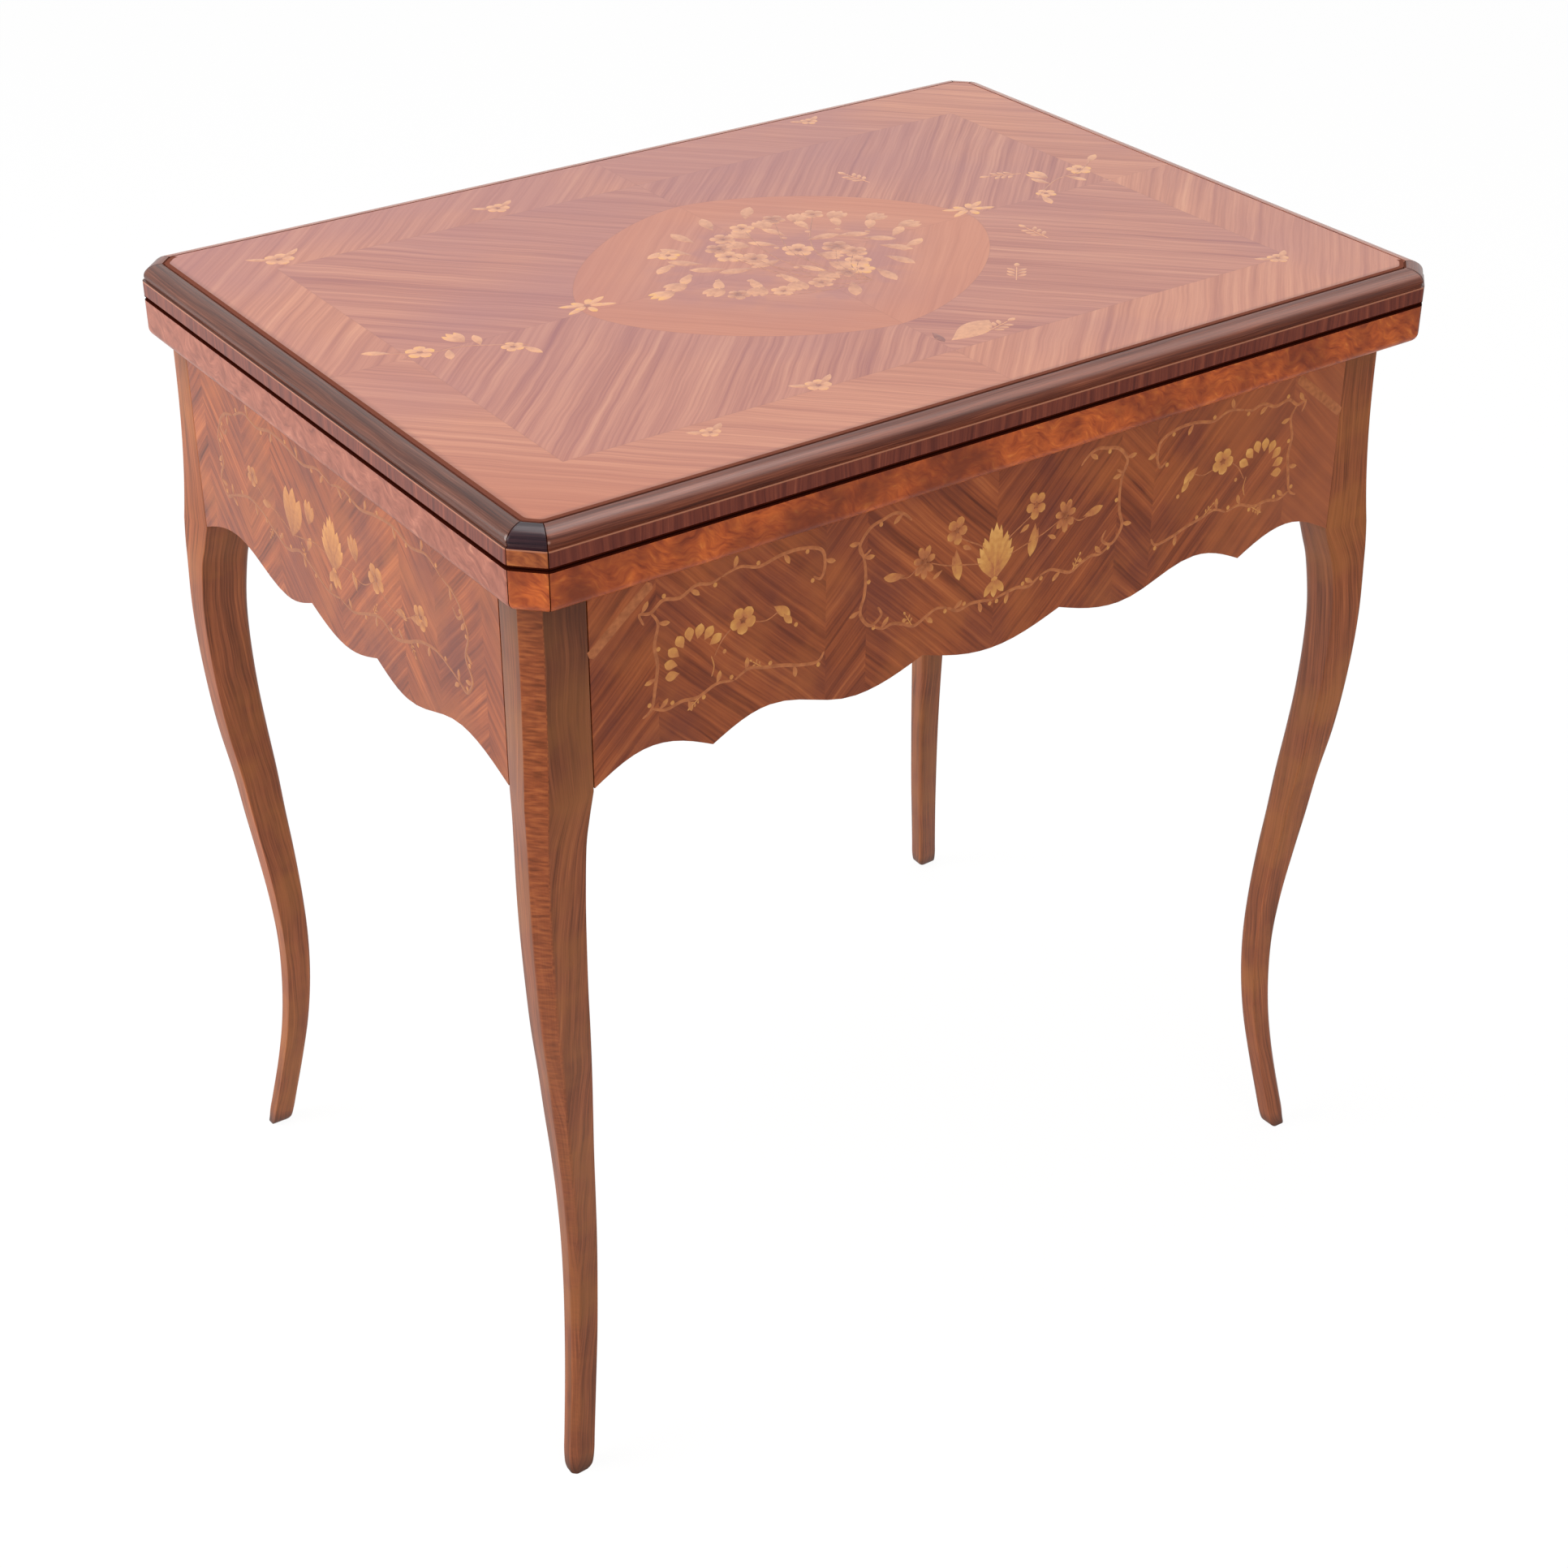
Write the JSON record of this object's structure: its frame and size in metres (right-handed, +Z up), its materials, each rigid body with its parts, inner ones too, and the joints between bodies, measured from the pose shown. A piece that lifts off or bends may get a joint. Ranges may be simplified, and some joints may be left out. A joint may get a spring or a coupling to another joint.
{
  "type": "folding card table",
  "caption": "Card table with cabriole legs, scalloped aprons and a square top of two hinged leaves that swivels and unfolds over the frame.",
  "frame": {"origin": "on the floor, under the middle of the closed top", "axes": "+Z up, X along the table's long side, +Y towards the back edge, where the two leaves are hinged"},
  "size_m": [0.74, 0.5379, 0.76],
  "materials": {
    "walnut": "polished, with fine dark grain",
    "rosewood": "polished veneer in diagonal quarters, inlaid with pale flowers",
    "cross_band": "polished cross-banded veneer",
    "tulipwood": "polished quartered veneer, inlaid with pale flowers",
    "dark_wood": "dark stained and polished moulding",
    "pine": "plain sawn and unpolished",
    "baize": "short green wool nap",
    "brass": "brushed, slightly dulled",
    "steel": "plain zinc grey"
  },
  "bodies": {
    "base": {"leg_front_left": "walnut", "leg_front_right": "walnut", "leg_back_right": "walnut", "leg_back_left": "walnut", "corner_block_front_left": "pine", "corner_block_front_right": "pine", "corner_block_back_right": "pine", "corner_block_back_left": "pine", "apron_front": "rosewood", "apron_right": "rosewood", "apron_back": "rosewood", "apron_left": "rosewood", "pivot_rail": "pine", "well_divider": "pine", "well_bottom": "pine", "well_lining": "baize", "well_cleat_front": "pine", "well_cleat_back": "pine", "well_cleat_left": "pine", "well_cleat_divider": "pine"},
    "lower_leaf": {"lower_core": "rosewood", "lower_baize": "baize", "lower_lip_front": "cross_band", "lower_lip_cant_front_right": "cross_band", "lower_lip_right": "cross_band", "lower_lip_cant_back_right": "cross_band", "lower_lip_back": "cross_band", "lower_lip_cant_back_left": "cross_band", "lower_lip_left": "cross_band", "lower_lip_cant_front_left": "cross_band", "pivot_plate": "brass", "pivot_washer": "steel", "pivot_nut": "steel", "stop_peg": "walnut", "hinge_left_lower": "brass", "hinge_left_pin": "brass", "hinge_right_lower": "brass", "hinge_right_pin": "brass"},
    "upper_leaf": {"upper_core": "rosewood", "top_field": "tulipwood", "upper_baize": "baize", "moulding_front": "dark_wood", "moulding_cant_front_right": "dark_wood", "moulding_right": "dark_wood", "moulding_cant_back_right": "dark_wood", "moulding_back": "dark_wood", "moulding_cant_back_left": "dark_wood", "moulding_left": "dark_wood", "moulding_cant_front_left": "dark_wood", "hinge_left_upper": "brass", "hinge_right_upper": "brass"}
  },
  "joints": [
    {"name": "top_swivel", "type": "hinge", "parent": "base", "child": "lower_leaf", "pos_m": [0.1295, 0.134, 0.7073], "axis": [0, 0, 1], "range_deg": [0, 90]},
    {"name": "leaf_fold", "type": "hinge", "parent": "lower_leaf", "child": "upper_leaf", "pos_m": [0, 0.2678, 0.7362], "axis": [-1, 0, 0], "range_deg": [0, 180]}
  ]
}
